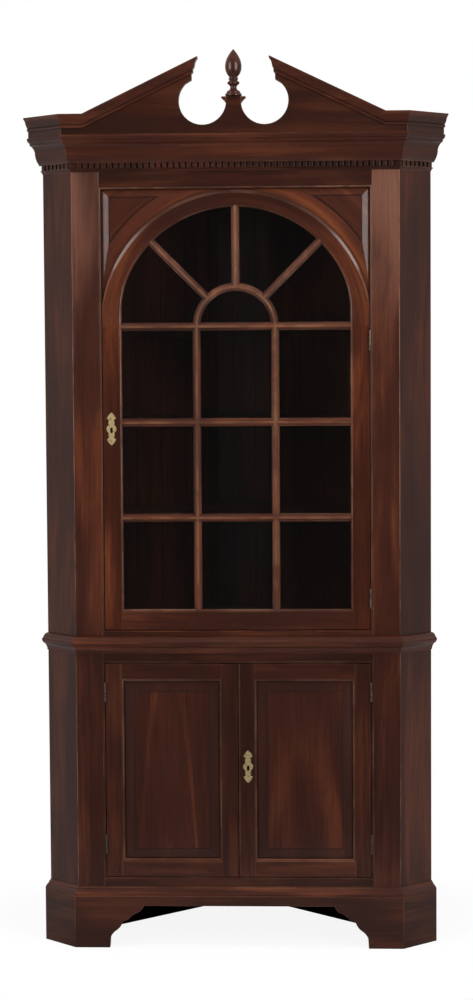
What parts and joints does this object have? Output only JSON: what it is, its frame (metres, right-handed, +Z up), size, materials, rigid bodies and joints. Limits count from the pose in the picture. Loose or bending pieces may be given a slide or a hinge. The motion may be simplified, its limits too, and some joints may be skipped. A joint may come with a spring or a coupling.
{
  "type": "corner china cabinet",
  "caption": "Tall corner china cabinet: glazed arch-topped door over panelled doors, bracket feet, broken pediment with a turned finial.",
  "frame": {"origin": "middle of the footprint on the floor", "axes": "+Z up, -Y to the front, +X to the right of someone facing the front"},
  "size_m": [1.0802, 0.565, 2.286],
  "materials": {
    "front_wood": "polished dark red-brown mahogany",
    "door_wood": "polished dark red-brown mahogany with a lively figure",
    "case_wood": "stained, low sheen",
    "glass": "clear, old, very slightly uneven",
    "brass": "aged, satin"
  },
  "bodies": {
    "cabinet": {"base_front": "front_wood", "base_sides": "front_wood", "base_mouldings": "front_wood", "base_rear_rails": "case_wood", "lower_stiles": "front_wood", "lower_rails": "front_wood", "lower_opening_bead": "front_wood", "lower_sides": "front_wood", "lower_back_panels": "case_wood", "lower_floor_board": "case_wood", "lower_top_board": "case_wood", "lower_shelf": "case_wood", "waist_mouldings": "front_wood", "upper_stiles": "front_wood", "upper_sill_rail": "front_wood", "upper_head_rail": "front_wood", "upper_opening_bead": "front_wood", "spandrel_panels": "front_wood", "door_stop": "case_wood", "upper_sides": "front_wood", "upper_back_panels": "case_wood", "upper_floor_board": "case_wood", "upper_top_board": "case_wood", "upper_shelves": "case_wood", "shelf_cleats": "case_wood", "dentil_front": "front_wood", "dentil_sides": "front_wood", "cornice_front": "front_wood", "cornice_sides": "front_wood", "pediment_board": "front_wood", "pediment_sides": "front_wood", "crown_rakes": "front_wood", "crown_sides": "front_wood", "plinth_caps": "front_wood", "finial": "front_wood", "pediment_glue_blocks": "brass", "hinge_frame_leaves": "brass"},
    "upper_door": {"upper_door_stiles": "door_wood", "upper_door_arch": "door_wood", "upper_door_bottom_rail": "door_wood", "upper_door_muntins": "door_wood", "upper_door_panes": "glass", "upper_door_hinge_leaves": "brass", "upper_door_lock": "brass", "upper_door_escutcheon": "brass"},
    "upper_lock_bolt": {"upper_lock_bolt": "brass"},
    "left_door": {"left_door_stiles": "door_wood", "left_door_rails": "door_wood", "left_door_panel": "door_wood", "left_door_hinge_leaves": "brass", "left_door_bolt_guide": "brass"},
    "left_door_bolt": {"left_door_bolt": "brass"},
    "right_door": {"right_door_stiles": "door_wood", "right_door_rails": "door_wood", "right_door_panel": "door_wood", "right_door_hinge_leaves": "brass", "right_door_lock": "brass", "right_door_escutcheon": "brass"},
    "right_lock_bolt": {"right_lock_bolt": "brass"}
  },
  "joints": [
    {"name": "upper_door_hinge", "type": "hinge", "parent": "cabinet", "child": "upper_door", "pos_m": [0.34, -0.223, 1.226], "axis": [0, 0, 1], "range_deg": [0, 145]},
    {"name": "upper_lock_slide", "type": "slide", "parent": "upper_door", "child": "upper_lock_bolt", "axis": [-1, 0, 0], "range_m": [0, 0.0095]},
    {"name": "left_door_hinge", "type": "hinge", "parent": "cabinet", "child": "left_door", "pos_m": [-0.341, -0.223, 0.458], "axis": [0, 0, -1], "range_deg": [0, 160]},
    {"name": "left_bolt_slide", "type": "slide", "parent": "left_door", "child": "left_door_bolt", "axis": [0, 0, 1], "range_m": [0, 0.016]},
    {"name": "right_door_hinge", "type": "hinge", "parent": "cabinet", "child": "right_door", "pos_m": [0.341, -0.223, 0.458], "axis": [0, 0, 1], "range_deg": [0, 160]},
    {"name": "right_lock_slide", "type": "slide", "parent": "right_door", "child": "right_lock_bolt", "axis": [-1, 0, 0], "range_m": [0, 0.0105]}
  ]
}
